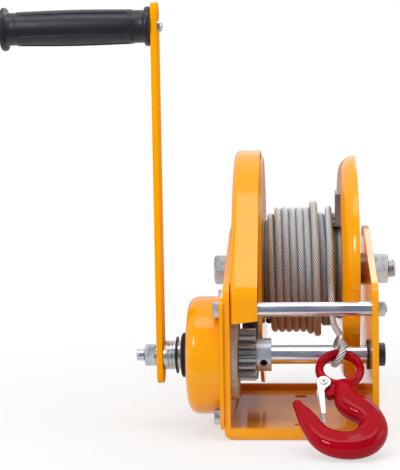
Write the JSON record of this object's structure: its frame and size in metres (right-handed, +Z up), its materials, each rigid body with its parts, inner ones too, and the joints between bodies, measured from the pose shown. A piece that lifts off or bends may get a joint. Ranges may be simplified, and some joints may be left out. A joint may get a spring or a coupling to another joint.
{
  "type": "hand winch",
  "caption": "Hand crank winch: pressed steel frame with a rope drum driven through a gear pair by a braked crank, wire rope ending in a forged hook with a sprung latch.",
  "frame": {"origin": "centre of the base's underside, midway between the side plates and the front and rear edges", "axes": "+X along the drum and crank shafts, away from the crank; +Y from the hook side to the rear; +Z up from the mounting face"},
  "size_m": [0.3208, 0.31, 0.3445],
  "materials": {
    "yellow_paint": "smooth gloss enamel",
    "zinc_steel": "bright zinc plate",
    "bright_steel": "turned bright steel",
    "cut_steel": "machined and oiled",
    "cast_boss": "rough cast",
    "black_oxide": "black oxide",
    "black_plastic": "satin moulded",
    "black_rubber": "matte moulded",
    "bronze": "sintered bushing",
    "friction_lining": "moulded brake lining",
    "drum_steel": "plain steel",
    "wire_rope": "galvanised strands",
    "pressed_alloy": "pressed",
    "red_paint": "gloss enamel over forging",
    "zinc_sheet": "bright zinc plate"
  },
  "bodies": {
    "frame_body": {"frame": "yellow_paint", "gear_guard": "yellow_paint", "brake_housing": "yellow_paint", "housing_bolts": "zinc_steel", "tie_bar": "bright_steel", "tie_bolt": "zinc_steel", "tie_nut": "zinc_steel", "axle_bolt": "zinc_steel", "axle_washers": "zinc_steel", "axle_nut": "zinc_steel", "axle_sleeve": "bright_steel", "drum_spacer_left": "drum_steel", "drum_spacer_right": "drum_steel", "shaft_bush_left": "bronze", "shaft_bush_right": "black_plastic", "bearing_boss": "cast_boss", "pawl_pin": "bright_steel", "pawl_spring": "bright_steel", "rope_tail": "wire_rope", "ferrule": "pressed_alloy", "rope_eye": "wire_rope", "hook": "red_paint", "latch_pin": "zinc_sheet", "latch_spring": "bright_steel"},
    "drum_body": {"drum_barrel": "drum_steel", "drum_flange_left": "yellow_paint", "drum_flange_right": "yellow_paint", "drum_gear": "cut_steel", "gear_rivets": "bright_steel", "drum_bush_left": "bronze", "drum_bush_right": "bronze", "rope_core": "wire_rope", "rope_winding": "wire_rope", "rope_clamp": "drum_steel", "clamp_bolt": "zinc_steel"},
    "crank_body": {"drive_shaft": "bright_steel", "pinion": "cut_steel", "shaft_collar": "cut_steel", "set_screw": "black_oxide", "shaft_retainer": "black_plastic", "brake_plate": "cut_steel", "friction_disc_inner": "friction_lining", "friction_disc_outer": "friction_lining", "ratchet_wheel": "cut_steel", "crank_hub": "zinc_steel", "dust_ring": "black_rubber", "thin_washer": "black_oxide", "crank_spacer": "zinc_steel", "crank_arm": "yellow_paint", "crank_washer": "zinc_steel", "crank_nut": "zinc_steel", "grip_bolt": "zinc_steel"},
    "grip_body": {"grip": "black_plastic"},
    "pawl_body": {"pawl": "cut_steel"},
    "latch_body": {"latch": "zinc_sheet"}
  },
  "joints": [
    {"name": "drum_turn", "type": "hinge", "parent": "frame_body", "child": "drum_body", "pos_m": [0, 0.05509, 0.1185], "axis": [1, 0, 0], "continuous": true},
    {"name": "crank_turn", "type": "hinge", "parent": "frame_body", "child": "crank_body", "pos_m": [0, -0.041, 0.06], "axis": [1, 0, 0], "continuous": true},
    {"name": "grip_spin", "type": "hinge", "parent": "crank_body", "child": "grip_body", "pos_m": [-0.175, -0.041, 0.326], "axis": [1, 0, 0], "continuous": true},
    {"name": "pawl_lift", "type": "hinge", "parent": "frame_body", "child": "pawl_body", "pos_m": [-0.074, -0.02175, 0.09334], "axis": [-1, 0, 0], "range_deg": [0, 12], "stiffness_Nm_per_rad": 0.02, "springref_deg": -22.92},
    {"name": "latch_swing", "type": "hinge", "parent": "frame_body", "child": "latch_body", "pos_m": [0.0172, -0.09563, 0.04505], "axis": [0, -0.6157, 0.788], "range_deg": [0, 20], "stiffness_Nm_per_rad": 0.03, "springref_deg": -22.92}
  ],
  "couplings": [
    {"joint": "crank_turn", "follows": "drum_turn", "ratio": -5}
  ]
}
